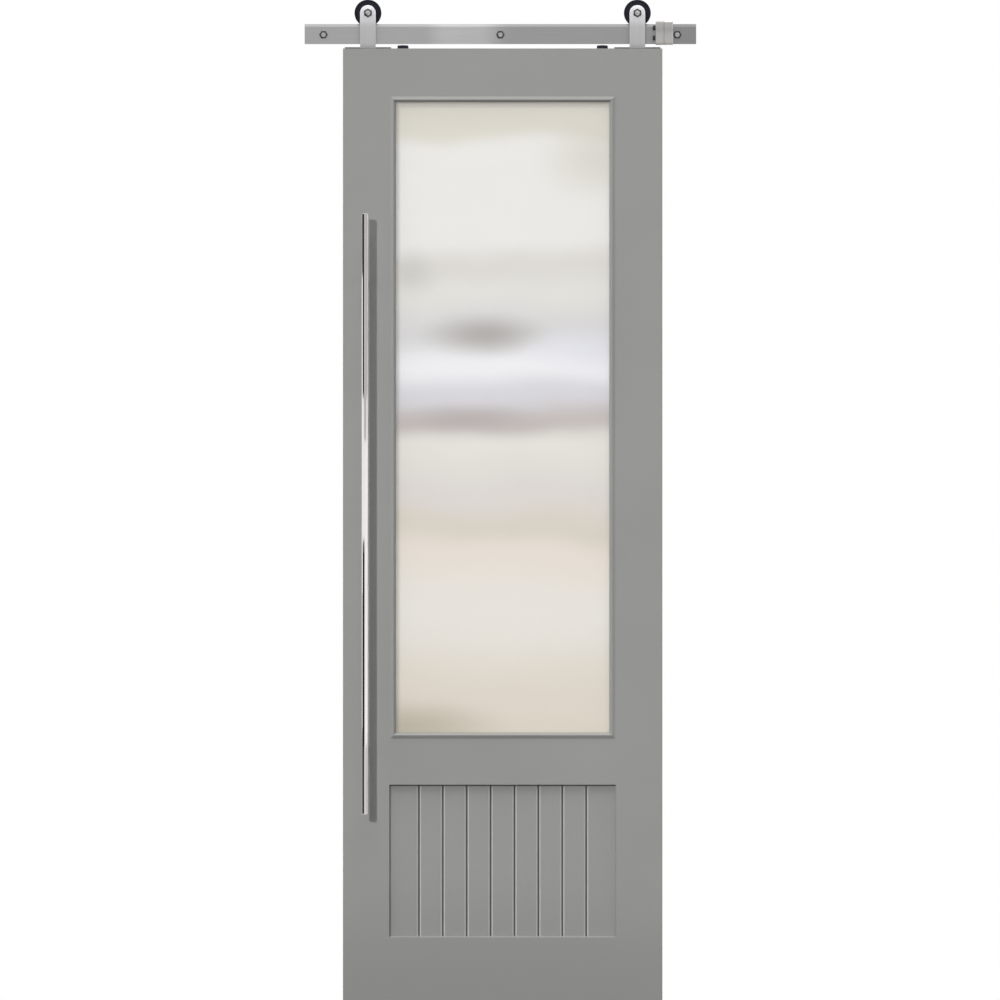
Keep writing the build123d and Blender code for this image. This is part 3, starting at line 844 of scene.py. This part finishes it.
def wheel_part(side, sizes):
    """A wheel turned from a half profile and its mirror: groove, flange, dished face, seat."""
    low, high = node_box(f"{side}_wheel")
    bearing_low, bearing_high = node_box(f"{side}_wheel_bearing")
    rim, half = (high[2] - low[2]) / 2, (high[1] - low[1]) / 2
    seat = (bearing_high[2] - bearing_low[2]) / 2
    tread = rim - sizes.flange_depth
    inset, start = quarter_round(sizes.flange_round, sizes.arc_steps)
    dish = sizes.wheel_dish
    rim_foot, hub_foot = 0.90 * rim, 0.55 * rim
    profile = np.array(
        [
            (sizes.groove_floor / 2, tread),
            (sizes.groove_mouth / 2 - 0.0004, rim - 0.0006),
            (sizes.groove_mouth / 2 + 0.0006, rim),
            *zip(half - inset, rim - start),
            (half, rim_foot),
            (half - 0.6 * dish, rim_foot - 0.7 * dish),
            (half - dish, rim_foot - 1.6 * dish),
            (half - dish, hub_foot + 1.6 * dish),
            (half - 0.6 * dish, hub_foot + 0.7 * dish),
            (half, hub_foot),
            (half, seat),
        ]
    )
    whole = np.concatenate([profile, profile[::-1] * (-1, 1)])
    run = np.concatenate([[0.0], np.cumsum(np.linalg.norm(np.diff(whole, axis=0), axis=1))])
    centre = node_centre(f"{side}_wheel")
    depths, radii = whole.T
    return turned(centre, Y_AXIS, radii, depths, sizes.turns, closed=True, profile_run=run)


def bearing_part(side, sizes):
    """A bearing: outer and inner race level with the hub, and a shield set back between them."""
    low, high = node_box(f"{side}_wheel_bearing")
    bush_low, bush_high = node_box(f"{side}_axle_bush")
    outer, half = (high[2] - low[2]) / 2, (high[1] - low[1]) / 2
    inner = 0.318 * (bush_high[2] - bush_low[2])
    easing, shield = 0.0003, half - 0.0007
    profile = np.array(
        [
            (half - easing, outer),
            (half, outer - easing),
            (half, 0.88 * outer),
            (shield, 0.86 * outer),
            (shield, inner + 0.0022),
            (half, inner + 0.0020),
            (half, inner),
        ]
    )
    whole = np.concatenate([profile, profile[::-1] * (-1, 1)])
    centre = node_centre(f"{side}_wheel_bearing")
    depths, radii = whole.T
    return turned(centre, Y_AXIS, radii, depths, sizes.turns, closed=True)


class BARNDOOR_OT_hangers(bpy.types.Operator):
    """Make the hangers with their axle bolts, nuts and foot screws, and the anti-jump discs"""

    bl_idname = "barn_door.hangers"
    bl_label = "Hangers and Discs"

    def execute(self, context):
        sizes = context.scene.barn_door_sizes
        for side in SIDES:
            hanger = hanger_parts(side, sizes)
            add_piece(f"{side}_roller_hanger", hanger, "door", "strap", [f"{side}_hanger"])
            screws = foot_screw_parts(side, sizes)
            add_piece(f"{side}_foot_screws", screws, "door", "bolt")
            axle = axle_parts(side, sizes)
            add_piece(f"{side}_axle", axle, "door", "bolt", [f"{side}_axle_bolt"])
            nut = nut_part(side, sizes)
            add_piece(f"{side}_axle_lock_nut", [nut], "door", "bolt", [f"{side}_axle_nut"])
            dress_node(f"{side}_axle_bush", "strap")
            disc, screw = disc_parts(side, sizes)
            add_piece(f"{side}_jump_disc", [disc], "door", "nylon", [f"{side}_anti_jump_disc"])
            add_piece(f"{side}_disc_screw", [screw], "door", "bolt")
        return {"FINISHED"}


def hanger_parts(side, sizes):
    """A strap with a round head, a foot plate behind it, and the concave weld in their corner."""
    low, high = node_box(f"{side}_hanger")
    bush_low = node_box(f"{side}_axle_bush")[0]
    axle = node_centre(f"{side}_wheel")
    half = high[2] - axle[2]
    edge, steps = sizes.strap_round, sizes.arc_steps
    corners = rectangle((-half, low[2] - axle[2]), (half, half))
    outline, normals = rounded_outline(corners, [edge, edge, half, half], 4 * steps)
    origin = np.array([axle[0], bush_low[1], axle[2]])
    thickness = bush_low[1] - low[1]
    strap = slab(outline, normals, origin, (X_AXIS, Z_AXIS, -Y_AXIS), thickness, edge, steps)
    corners = rectangle((low[0], bush_low[1]), (high[0], high[1]))
    plate = sizes.foot_thickness
    easing = 0.25 * plate
    radii = [easing, easing, sizes.foot_corner, sizes.foot_corner]
    outline, normals = rounded_outline(corners, radii, 2 * steps)
    foot_origin = Z_AXIS * low[2]
    axes = (X_AXIS, Y_AXIS, Z_AXIS)
    points, faces, _ = slab(outline, normals, foot_origin, axes, plate, easing, steps)
    # The foot is marked for the dark tint, a painted shade
    foot = points, faces, {"raw_steel": np.ones(len(points))}
    leg = sizes.weld_leg
    turn = np.linspace(1.5 * math.pi, math.pi, 2 * steps)
    hollow = leg + leg * np.stack([np.cos(turn), np.sin(turn)], axis=1)
    root = -0.2 * leg
    profile = np.concatenate([[(root, root), (leg, root)], hollow, [(root, leg)]])
    corner = np.array([axle[0], bush_low[1], low[2] + plate])
    run = half - 2 * edge
    weld = extruded(profile, corner, (Y_AXIS, Z_AXIS, X_AXIS), (-run, run))
    return [strap, foot, weld]


def foot_screw_parts(side, sizes):
    """Two countersunk screws in a foot, one on each side of the strap."""
    low, high = node_box(f"{side}_hanger")
    axle_x = node_centre(f"{side}_wheel")[0]
    bush_low = node_box(f"{side}_axle_bush")[0]
    reach = 0.36 * (high[0] - low[0])
    level = low[2] + sizes.foot_thickness
    middle_y = (bush_low[1] + high[1]) / 2
    places = [np.array([axle_x + step * reach, middle_y, level]) for step in (-1, 1)]
    return [socket_screw(place, Z_AXIS, sizes.foot_screw) for place in places]


def axle_parts(side, sizes):
    """The axle bolt: domed hexagon head with a corner down, and a shank to behind the nut."""
    low, high = node_box(f"{side}_axle_bolt")
    strap_front = node_box(f"{side}_hanger")[0][1]
    bush_low, bush_high = node_box(f"{side}_axle_bush")
    seat = node_centre(f"{side}_wheel")
    seat[1] = strap_front
    flats = high[0] - low[0]
    height = sizes.axle_head
    dome = 0.28 * height
    head = hexagon_head(seat, -Y_AXIS, flats, height - dome, sizes.turns, math.pi / 6, dome)
    shank = 0.3125 * (bush_high[2] - bush_low[2])
    tip = 0.0012
    end = high[1] - seat[1]
    radii, heights = (shank, shank, shank - tip), (0.0, end - tip, end)
    stem = turned(seat, Y_AXIS, radii, heights, sizes.turns // 2)
    return [head, stem]


def nut_part(side, sizes):
    """A hexagon nut with both faces crowned, round the axle."""
    low, high = node_box(f"{side}_axle_nut")
    bush_low, bush_high = node_box(f"{side}_axle_bush")
    centre = node_centre(f"{side}_axle_nut")
    centre[1] = low[1]
    flats, height = high[2] - low[2], high[1] - low[1]
    bore = 0.32 * (bush_high[2] - bush_low[2])
    crown = 0.46 * flats
    hexagon = hexagon_radius(flats, sizes.turns)
    fall = (hexagon - crown) * math.tan(math.pi / 6)
    lead = 0.0006
    radii = [bore, crown, hexagon, hexagon, crown, bore + lead, bore]
    heights = [0.0, 0.0, fall, height - fall, height, height, height - lead]
    # The hexagon's sides and the bore are marked for the dark edge tint, a painted shade
    dark = [0.3, 0.0, 0.9, 0.9, 0.0, 0.4, 1.0]
    return turned(centre, Y_AXIS, radii, heights, sizes.turns, closed=True, dark_edge=dark)


def disc_parts(side, sizes):
    """An anti-jump disc: sides that lean in to a rounded, slightly crowned top, and its screw."""
    low, high = node_box(f"{side}_anti_jump_disc")
    base = node_centre(f"{side}_anti_jump_disc")
    base[2] = low[2]
    foot, height = (high[0] - low[0]) / 2, high[2] - low[2]
    rise = 0.0004
    inset, start = quarter_round(sizes.disc_round, 2 * sizes.arc_steps)
    shoulder = 0.92 * foot
    edge = shoulder + sizes.disc_round * 0.35 - inset[::-1]
    crown = height - 0.2 * rise
    radii = [foot - 0.0005, foot, *edge, 0.3 * foot, 0.0]
    heights = [0.0, 0.0006, *(height - rise - start[::-1]), crown, crown]
    run = np.linspace(0.0, foot + height, len(radii))
    disc = turned(base, Z_AXIS, radii, heights, sizes.turns, profile_run=run)
    top = base + Z_AXIS * crown
    return disc, socket_screw(top, Z_AXIS, 0.36 * 2 * foot)


class BARNDOOR_OT_pull(bpy.types.Operator):
    """Make the long round pull bar, and finish its posts and through bolts"""

    bl_idname = "barn_door.pull"
    bl_label = "Bar Pull"

    def execute(self, context):
        sizes = context.scene.barn_door_sizes
        low, high = node_box("pull_bar")
        radius, span = (high[0] - low[0]) / 2, high[2] - low[2]
        base = node_centre("pull_bar")
        base[2] = low[2]
        inset, start = quarter_round(sizes.pull_end_round, sizes.arc_steps)
        radii = np.concatenate([radius - inset, (radius - inset)[::-1]])
        heights = np.concatenate([start, span - start[::-1]])
        bar = turned(base, Z_AXIS, radii, heights, sizes.turns)
        add_piece("grip_bar", [bar], "door", "polish", ["pull_bar"])
        for place in POSTS:
            dress_node(f"{place}_pull_post", "polish")
            dress_node(f"{place}_pull_bolt", "bolt")
        return {"FINISHED"}


class BARNDOOR_OT_stop(bpy.types.Operator):
    """Make the stop's head, its clamp round the rail, and the rubber bumpers"""

    bl_idname = "barn_door.stop"
    bl_label = "End Stop"

    def execute(self, context):
        sizes = context.scene.barn_door_sizes
        add_piece("stop_block", [stop_head_part(sizes)], "track", "stop", ["stop_head"])
        add_piece("stop_collar", [stop_clamp_part(sizes)], "track", "stop", ["stop_clamp"])
        add_piece("rubber_bumpers", bumper_parts(sizes), "track", "rubber", ["stop_bumpers"])
        return {"FINISHED"}


def stop_head_part(sizes):
    """The head: an upright block in front of the wheel's path, and a foot back to the rail."""
    low, high = node_box("stop_head")
    wheel_low = node_box("right_wheel")[0]
    back_y = wheel_low[1] - sizes.stop_clearance
    foot_z = wheel_low[2] - sizes.stop_clearance
    corners = [
        (low[1], low[2]),
        (high[1], low[2]),
        (high[1], foot_z),
        (back_y, foot_z),
        (back_y, high[2]),
        (low[1], high[2]),
    ]
    edge, rim, rim_steps = 1.2 * sizes.stop_round, 0.0005, 3
    radii = [edge, rim, rim, rim, edge, edge]
    outline, normals = rounded_outline(corners, radii, 2 * sizes.arc_steps)
    axes = (Y_AXIS, Z_AXIS, X_AXIS)
    return slab(outline, normals, X_AXIS * low[0], axes, high[0] - low[0], rim, rim_steps)


def stop_clamp_part(sizes):
    """The clamp: a collar with rounded edges round a window as large as the rail's section."""
    low, high = node_box("stop_clamp")
    rail_low, rail_high = node_box("track_rail")
    edge, steps = sizes.stop_round, sizes.arc_steps
    sharp = 0.0002
    outline, normals = rounded_outline(rectangle(low[1:], high[1:]), [1.3 * edge] * 4, 2 * steps)
    hole, _ = rounded_outline(rectangle(rail_low[1:], rail_high[1:]), [sharp] * 4, 2 * steps)
    axes = (Y_AXIS, Z_AXIS, X_AXIS)
    return slab(outline, normals, X_AXIS * low[0], axes, high[0] - low[0], edge, steps, hole)


def bumper_parts(sizes):
    """Two rubber buffers with rounded noses, pointing left."""
    low, high = node_box("stop_bumpers")
    radius = (high[1] - low[1]) / 2
    reach = high[0] - low[0]
    inset, start = quarter_round(sizes.bumper_round, sizes.arc_steps)
    radii = [radius, *(radius - inset[::-1])]
    heights = [0.0, *(reach - start[::-1])]
    middle_y = (low[1] + high[1]) / 2
    seats = [np.array([high[0], middle_y, z]) for z in (low[2] + radius, high[2] - radius)]
    return [turned(seat, -X_AXIS, radii, heights, sizes.turns) for seat in seats]


# Stage


class BARNDOOR_OT_stage(bpy.types.Operator):
    """Set the plain studio: pale floor, soft light, white surround and the camera"""

    bl_idname = "barn_door.stage"
    bl_label = "Studio"

    def execute(self, context):
        studio = context.scene.barn_door_studio
        context.scene.view_settings.view_transform = "Standard"
        make_floor(studio)
        make_cards()
        make_world(studio)
        make_lights(studio)
        make_camera(studio)
        return {"FINISHED"}


def seen_directly(nodes, links):
    """1 for rays from the camera, from a gloss or through glass, else 0."""
    path = nodes.new("ShaderNodeLightPath")
    result = path.outputs["Is Camera Ray"]
    for name in ("Is Glossy Ray", "Is Transmission Ray"):
        larger = nodes.new("ShaderNodeMath")
        larger.operation = "MAXIMUM"
        links.new(result, larger.inputs[0])
        links.new(path.outputs[name], larger.inputs[1])
        result = larger.outputs["Value"]
    return result


def mix_shaders(nodes, links, share, first, second):
    """A mix of two shader nodes by a share."""
    mix = nodes.new("ShaderNodeMixShader")
    for output, socket in zip((share, first.outputs[0], second.outputs[0]), mix.inputs):
        links.new(output, socket)
    return mix


def make_world(studio):
    """Even neutral light on the door, and a white surround where it is seen."""
    world = bpy.data.worlds.new("studio_world")
    world.use_nodes = True
    bpy.context.scene.world = world
    nodes, links = world.node_tree.nodes, world.node_tree.links
    even, white = nodes["Background"], nodes.new("ShaderNodeBackground")
    for light in (even, white):
        light.inputs["Color"].default_value = (1.0, 1.0, 1.0, 1.0)
    even.inputs["Strength"].default_value = studio.ambient
    mix = mix_shaders(nodes, links, seen_directly(nodes, links), even, white)
    links.new(mix.outputs[0], nodes["World Output"].inputs["Surface"])


def stage_plane(name, corners, material):
    """A flat four-cornered sheet of the stage."""
    mesh = bpy.data.meshes.new(name)
    mesh.from_pydata(corners, [], [(0, 1, 2, 3)])
    mesh.materials.append(material)
    sheet = bpy.data.objects.new(name, mesh)
    bpy.context.scene.collection.objects.link(sheet)
    return sheet


def make_floor(studio):
    """A pale floor that keeps the door's shadow, fades to white and throws little light back."""
    finish = Finish("studio_floor")
    nodes, links = finish.nodes, finish.links
    finish.set(Base_Color=(0.86, 0.86, 0.86, 1.0), Roughness=0.9, Specular_IOR_Level=0.1)
    white, dim = nodes.new("ShaderNodeEmission"), nodes.new("ShaderNodeBsdfDiffuse")
    dim.inputs["Color"].default_value = (0.05, 0.05, 0.05, 1.0)
    fade = finish.spread(finish.distance((0.62, 1.0, 0.0)), 0.0, 1.0, 0.25, 1.1, "SMOOTHSTEP")
    share = finish.math("MULTIPLY", fade, seen_directly(nodes, links))
    seen = mix_shaders(nodes, links, share, finish.shader, white)
    bounced = nodes.new("ShaderNodeLightPath").outputs["Is Diffuse Ray"]
    floor = mix_shaders(nodes, links, bounced, seen, dim)
    links.new(floor.outputs[0], nodes["Material Output"].inputs["Surface"])
    level = cad_low[2] - studio.floor_drop
    corners = [(*corner, level) for corner in rectangle((-4.0, -5.0), (4.0, 4.0))]
    stage_plane("studio_floor", corners, finish.material)


def make_cards():
    """Cards that only reflections see: one for the steel at the rail, the others for the bar."""
    front, left = ((-1.3, -1.6), (1.3, -1.6)), ((-0.82, -2.04), (-2.17, -0.38))
    back_left, right = ((-2.17, -0.38), (-1.97, 1.05)), ((1.3, -1.6), (2.2, -0.3))
    cards = (
        ("rail_card", 0.62, front, (-0.34, 0.7)),
        ("upper_card", 0.55, front, (-0.90, -0.34)),
        ("lower_card", 0.7, front, (-2.3, -1.60)),
        ("upper_left_card", 0.01, left, (-0.80, -0.25)),
        ("lower_left_card", 0.01, left, (-2.3, -1.13)),
        ("upper_back_card", 0.16, back_left, (-0.52, -0.25)),
        ("middle_back_card", 0.6, back_left, (-1.56, -1.25)),
        ("lower_back_card", 0.2, back_left, (-2.3, -1.56)),
        ("upper_right_card", 0.5, right, (-0.80, -0.25)),
        ("lower_right_card", 0.6, right, (-2.3, -1.60)),
    )
    for name, tone, (start, end), (bottom, top) in cards:
        corners = [(*start, bottom), (*end, bottom), (*end, top), (*start, top)]
        material = bpy.data.materials.new(name)
        material.use_nodes = True
        nodes, links = material.node_tree.nodes, material.node_tree.links
        glow = nodes.new("ShaderNodeEmission")
        glow.inputs["Color"].default_value = (tone, tone, tone, 1.0)
        links.new(glow.outputs[0], nodes["Material Output"].inputs["Surface"])
        card = stage_plane(name, corners, material)
        card.visible_camera = False
        card.visible_diffuse = False
        card.visible_transmission = False
        card.visible_shadow = False


def aim(lamp, direction):
    """Turns a lamp to shine along a direction."""
    lamp.rotation_euler = Vector(direction).to_track_quat("-Z", "Y").to_euler()


def add_lamp(name, kind, energy, location, direction, **settings):
    """A lamp that shows neither in reflections nor through the glass."""
    lamp = bpy.data.lights.new(name, kind)
    lamp.energy = energy
    for setting, value in settings.items():
        setattr(lamp, setting, value)
    holder = bpy.data.objects.new(name, lamp)
    holder.location = location
    aim(holder, direction)
    holder.visible_glossy = False
    holder.visible_transmission = False
    bpy.context.scene.collection.objects.link(holder)


def make_lights(studio):
    """A key light from the upper left, soft lights from both sides and above, and one behind."""
    key_run, top_run = (studio.key_right, 1.0, -studio.key_down), (0.05, 0.36, -1.0)
    left_run, right_run = (1.0, 0.36, -0.06), (-1.0, 0.36, -0.06)
    suns = (
        ("key_light", studio.key, (-3.0, -6.0, 3.0), key_run, 3.0),
        ("left_light", studio.left_light, (-6.0, -2.0, 0.0), left_run, 45.0),
        ("right_light", studio.right_light, (6.0, -2.0, 0.0), right_run, 45.0),
        ("top_light", studio.top, (0.0, -2.0, 6.0), top_run, 40.0),
    )
    for name, strength, location, run, degrees in suns:
        add_lamp(name, "SUN", strength, location, run, angle=math.radians(degrees))
    place, run = (1.2, 2.6, 0.2), (-0.4, -1.0, -0.4)
    add_lamp("back_light", "AREA", studio.back_light, place, run, shape="SQUARE", size=2.0)


def make_camera(studio):
    """A far camera square to the leaf: its lens is sensor width times distance over view width."""
    camera = bpy.data.cameras.new("front_camera")
    camera.sensor_width = 36.0
    camera.lens = camera.sensor_width * studio.camera_distance / studio.view_width
    camera.clip_end = 100.0
    holder = bpy.data.objects.new("front_camera", camera)
    leaf_front = node_box("left_stile")[0][1]
    holder.location = (studio.view_x, leaf_front - studio.camera_distance, studio.view_z)
    holder.rotation_euler = (math.pi / 2, 0.0, 0.0)
    bpy.context.scene.collection.objects.link(holder)
    bpy.context.scene.camera = holder


# Add-on


class BARNDOOR_PT_panel(bpy.types.Panel):
    """Lists the door's pieces and settings in the sidebar"""

    bl_idname = "BARNDOOR_PT_panel"
    bl_label = "Barn Door"
    bl_space_type = "VIEW_3D"
    bl_region_type = "UI"
    bl_category = "Barn Door"

    def draw(self, context):
        for operator in OPERATORS:
            self.layout.operator(operator.bl_idname)
        for settings in ("barn_door_sizes", "barn_door_finishes", "barn_door_studio"):
            box = self.layout.box()
            group = getattr(context.scene, settings)
            for name in group.__annotations__:
                box.prop(group, name)


GROUPS = {
    "barn_door_sizes": BarnDoorSizes,
    "barn_door_finishes": BarnDoorFinishes,
    "barn_door_studio": BarnDoorStudio,
}
OPERATORS = (
    BARNDOOR_OT_leaf,
    BARNDOOR_OT_glazing,
    BARNDOOR_OT_rail,
    BARNDOOR_OT_rollers,
    BARNDOOR_OT_hangers,
    BARNDOOR_OT_pull,
    BARNDOOR_OT_stop,
    BARNDOOR_OT_stage,
)


def register():
    for group in (*GROUPS.values(), *OPERATORS, BARNDOOR_PT_panel):
        bpy.utils.register_class(group)
    for name, group in GROUPS.items():
        setattr(bpy.types.Scene, name, PointerProperty(type=group))


def unregister():
    for name in GROUPS:
        delattr(bpy.types.Scene, name)
    for group in (BARNDOOR_PT_panel, *reversed(OPERATORS), *reversed(GROUPS.values())):
        bpy.utils.unregister_class(group)


def main():
    bpy.data.batch_remove([*bpy.data.lights, *bpy.data.cameras])
    register()
    FINISHES.update(make_finishes())
    bpy.ops.barn_door.leaf()
    bpy.ops.barn_door.glazing()
    bpy.ops.barn_door.rail()
    bpy.ops.barn_door.rollers()
    bpy.ops.barn_door.hangers()
    bpy.ops.barn_door.pull()
    bpy.ops.barn_door.stop()
    bpy.ops.barn_door.stage()


if __name__ == "__main__":
    main()
